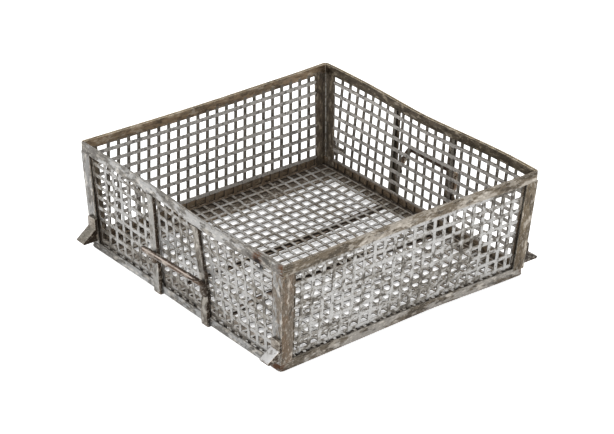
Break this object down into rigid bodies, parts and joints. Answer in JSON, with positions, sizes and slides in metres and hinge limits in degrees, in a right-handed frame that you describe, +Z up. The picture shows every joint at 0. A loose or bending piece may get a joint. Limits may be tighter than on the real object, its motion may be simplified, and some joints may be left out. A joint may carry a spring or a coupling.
{
  "type": "factory basket",
  "caption": "Shallow square steel basket of square-hole mesh in a flat-bar frame, with straps round its floor, rod handles on opposite walls and kicked-out stacking lugs at the corners.",
  "frame": {"origin": "centre of the footprint on the ground, level with the undersides of the straps", "axes": "+Z up, +X towards the right handle, +Y towards the back wall"},
  "size_m": [0.5319, 0.504, 0.1813],
  "materials": {
    "frame_steel": "bare steel, worn and stained brown",
    "mesh_steel": "bare steel sheet, dull grey with dark grime",
    "handle_steel": "bare steel rod, rubbed and rust brown"
  },
  "bodies": {
    "root": {"rim_bar_front": "frame_steel", "rim_bar_right": "frame_steel", "rim_bar_back": "frame_steel", "rim_bar_left": "frame_steel", "base_angle_front": "frame_steel", "base_angle_right": "frame_steel", "base_angle_back": "frame_steel", "base_angle_left": "frame_steel", "corner_post_front_left": "frame_steel", "corner_post_front_right": "frame_steel", "corner_post_back_right": "frame_steel", "corner_post_back_left": "frame_steel", "stacking_lug_front_left": "frame_steel", "stacking_lug_front_right": "frame_steel", "stacking_lug_back_right": "frame_steel", "stacking_lug_back_left": "frame_steel", "strap_back": "frame_steel", "strap_front": "frame_steel", "handle_right": "handle_steel", "handle_left": "handle_steel", "mesh_front_uprights": "mesh_steel", "mesh_front_levels": "mesh_steel", "mesh_right_uprights": "mesh_steel", "mesh_right_levels": "mesh_steel", "mesh_back_uprights": "mesh_steel", "mesh_back_levels": "mesh_steel", "mesh_left_uprights": "mesh_steel", "mesh_left_levels": "mesh_steel", "mesh_floor_lengthwise": "mesh_steel", "mesh_floor_crosswise": "mesh_steel"}
  },
  "joints": []
}
